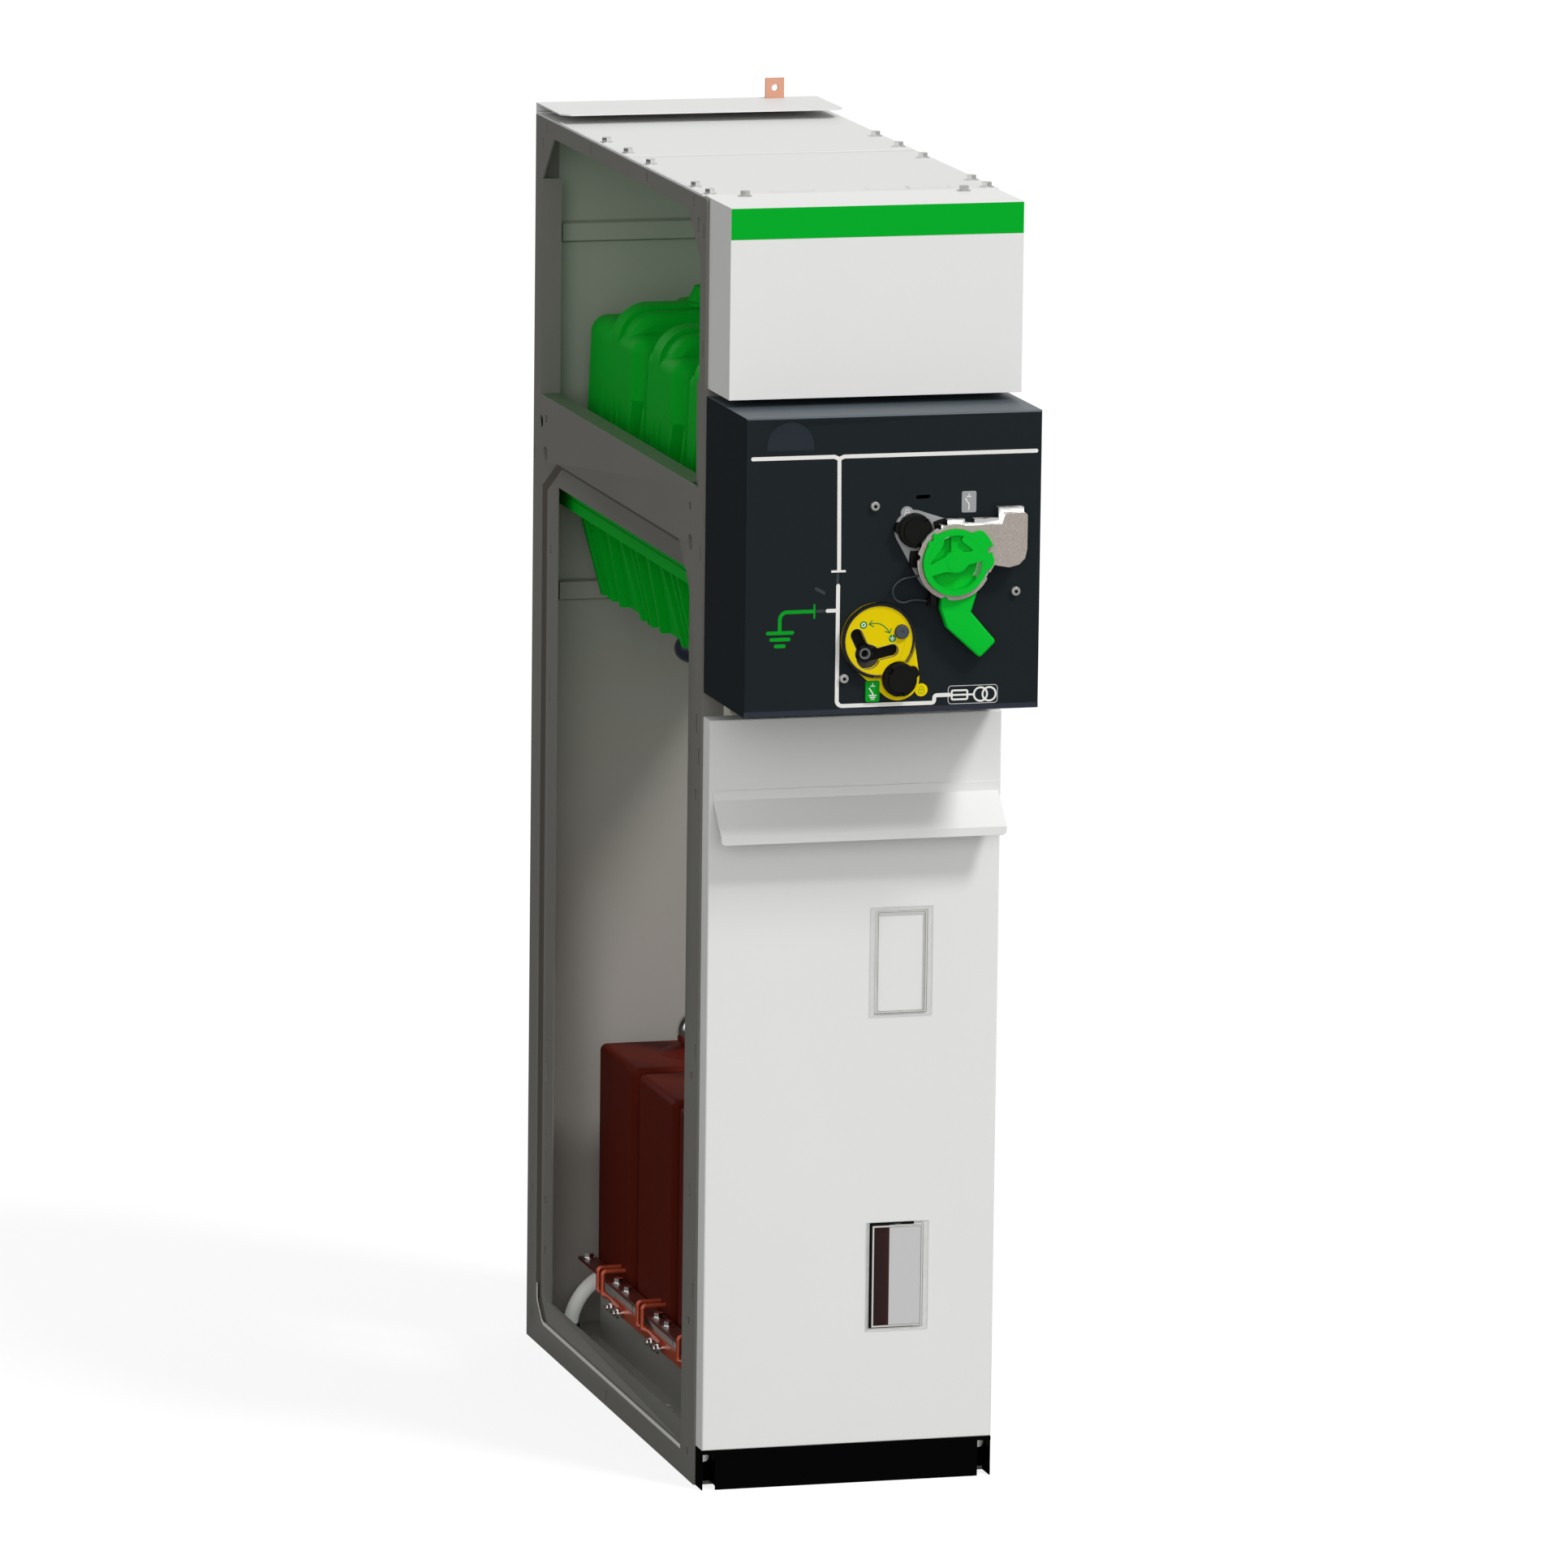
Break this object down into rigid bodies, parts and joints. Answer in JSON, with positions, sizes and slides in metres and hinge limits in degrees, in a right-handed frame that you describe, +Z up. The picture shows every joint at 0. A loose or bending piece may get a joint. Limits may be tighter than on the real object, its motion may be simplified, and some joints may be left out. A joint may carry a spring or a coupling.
{
  "type": "air-insulated switchgear panel",
  "caption": "Narrow medium-voltage cubicle with open side frames, a moulded switch tank, fused voltage transformers, a dark drive box with selectors and a lift-off front panel",
  "frame": {"origin": "on the floor, at the centre of the four anchor holes and of the cubicle footprint", "axes": "+Z up, +X to the right seen from the front, +Y to the back"},
  "size_m": [0.375, 1.0545, 1.639],
  "materials": {
    "frame_grey": "satin powder coat",
    "panel_white": "satin powder coat",
    "roof_white": "satin powder coat",
    "mechanism_dark": "matt powder coat",
    "plinth_black": "satin paint",
    "galvanised": "galvanised sheet",
    "bolt_steel": "zinc plated",
    "chrome": "polished",
    "tank_green": "moulded resin, semi-gloss",
    "cap_green": "moulded, semi-gloss",
    "dial_yellow": "moulded, semi-gloss",
    "plate_yellow": "printed plate",
    "plate_grey": "printed plate",
    "knob_black": "moulded, fine grain",
    "button_grey": "moulded",
    "clear_plastic": "clear",
    "cast_metal": "sand-textured casting",
    "copper": "bare copper",
    "resin_red": "cast epoxy, semi-gloss",
    "fuse_body": "glazed",
    "ring_grey": "moulded",
    "seal_black": "moulded",
    "hose_grey": "smooth sleeve",
    "cord_black": "plaited cord",
    "flag_grey": "painted sheet",
    "insulator": "moulded"
  },
  "bodies": {
    "cubicle": {"left_side_frame": "frame_grey", "right_side_frame": "frame_grey", "rear_panel": "galvanised", "roof_rear_panel": "roof_white", "roof_front_panel": "roof_white", "roof_deflector": "roof_white", "roof_bolts": "bolt_steel", "busbar_front_wall": "frame_grey", "upper_front_cover": "panel_white", "cover_screws": "bolt_steel", "floor_plate": "galvanised", "plinth": "plinth_black", "mechanism_chassis": "frame_grey", "mechanism_cover": "mechanism_dark", "mechanism_screws": "chrome", "main_backplate": "plate_grey", "earth_backplate": "plate_yellow", "earth_dial": "dial_yellow", "dial_rim": "clear_plastic", "tank_upper_shell": "tank_green", "tank_gasket": "seal_black", "tank_lower_shell": "tank_green", "upper_terminals": "copper", "lower_terminals": "copper", "field_rings": "ring_grey", "vt_terminal_caps": "chrome", "vt_support": "galvanised", "support_bolts": "bolt_steel", "earth_bar": "copper", "earth_strip": "copper", "earth_bolts": "bolt_steel", "vt_leads": "copper", "lead_clamps": "bolt_steel", "earth_tab": "copper", "conduit": "hose_grey", "conduit_fittings": "ring_grey", "fuse_rear": "fuse_body", "fuse_middle": "fuse_body", "fuse_front": "fuse_body", "vt_rear": "resin_red", "vt_middle": "resin_red", "vt_front": "resin_red"},
    "main_selector": {"selector_lever": "cast_metal", "selector_cap": "cap_green", "selector_shaft": "bolt_steel", "lanyard": "cord_black", "lanyard_clip": "knob_black"},
    "switch_rotor": {"switch_shaft": "insulator", "moving_contacts": "copper", "position_indicator": "flag_grey"},
    "earthing_socket": {"earthing_hub": "knob_black", "hub_ring": "chrome"},
    "button": {"release_button": "button_grey"},
    "main_lock": {"main_lock_knob": "knob_black"},
    "earth_lock": {"earth_lock_knob": "knob_black"},
    "door_panel": {"front_panel": "panel_white", "panel_handle": "panel_white", "window_frames": "clear_plastic", "blank_pane": "panel_white", "clear_pane": "clear_plastic"}
  },
  "joints": [
    {"name": "main_selector_turn", "type": "hinge", "parent": "cubicle", "child": "main_selector", "pos_m": [0.07, -0.6125, 1.179], "axis": [0, 1, 0], "range_deg": [0, 25]},
    {"name": "switch_shaft_turn", "type": "hinge", "parent": "cubicle", "child": "switch_rotor", "pos_m": [0, -0.5, 1.112], "axis": [0, 1, 0], "range_deg": [0, 38]},
    {"name": "earthing_socket_turn", "type": "hinge", "parent": "cubicle", "child": "earthing_socket", "pos_m": [-0.0361, -0.609, 1.068], "axis": [0, 1, 0], "range_deg": [0, 105]},
    {"name": "release_button_press", "type": "slide", "parent": "cubicle", "child": "button", "axis": [0, 1, 0], "range_m": [0, 0.003], "stiffness_N_per_m": 600},
    {"name": "main_lock_turn", "type": "hinge", "parent": "cubicle", "child": "main_lock", "pos_m": [0.0245, -0.6145, 1.2165], "axis": [0, 1, 0], "range_deg": [0, 45]},
    {"name": "earth_lock_turn", "type": "hinge", "parent": "cubicle", "child": "earth_lock", "pos_m": [0.0075, -0.6145, 1.035], "axis": [0, 1, 0], "range_deg": [0, 45]},
    {"name": "front_panel_lift", "type": "slide", "parent": "cubicle", "child": "door_panel", "axis": [0, 0, 1], "range_m": [0, 0.025]}
  ],
  "couplings": [
    {"joint": "switch_shaft_turn", "follows": "main_selector_turn", "ratio": 1.52}
  ]
}
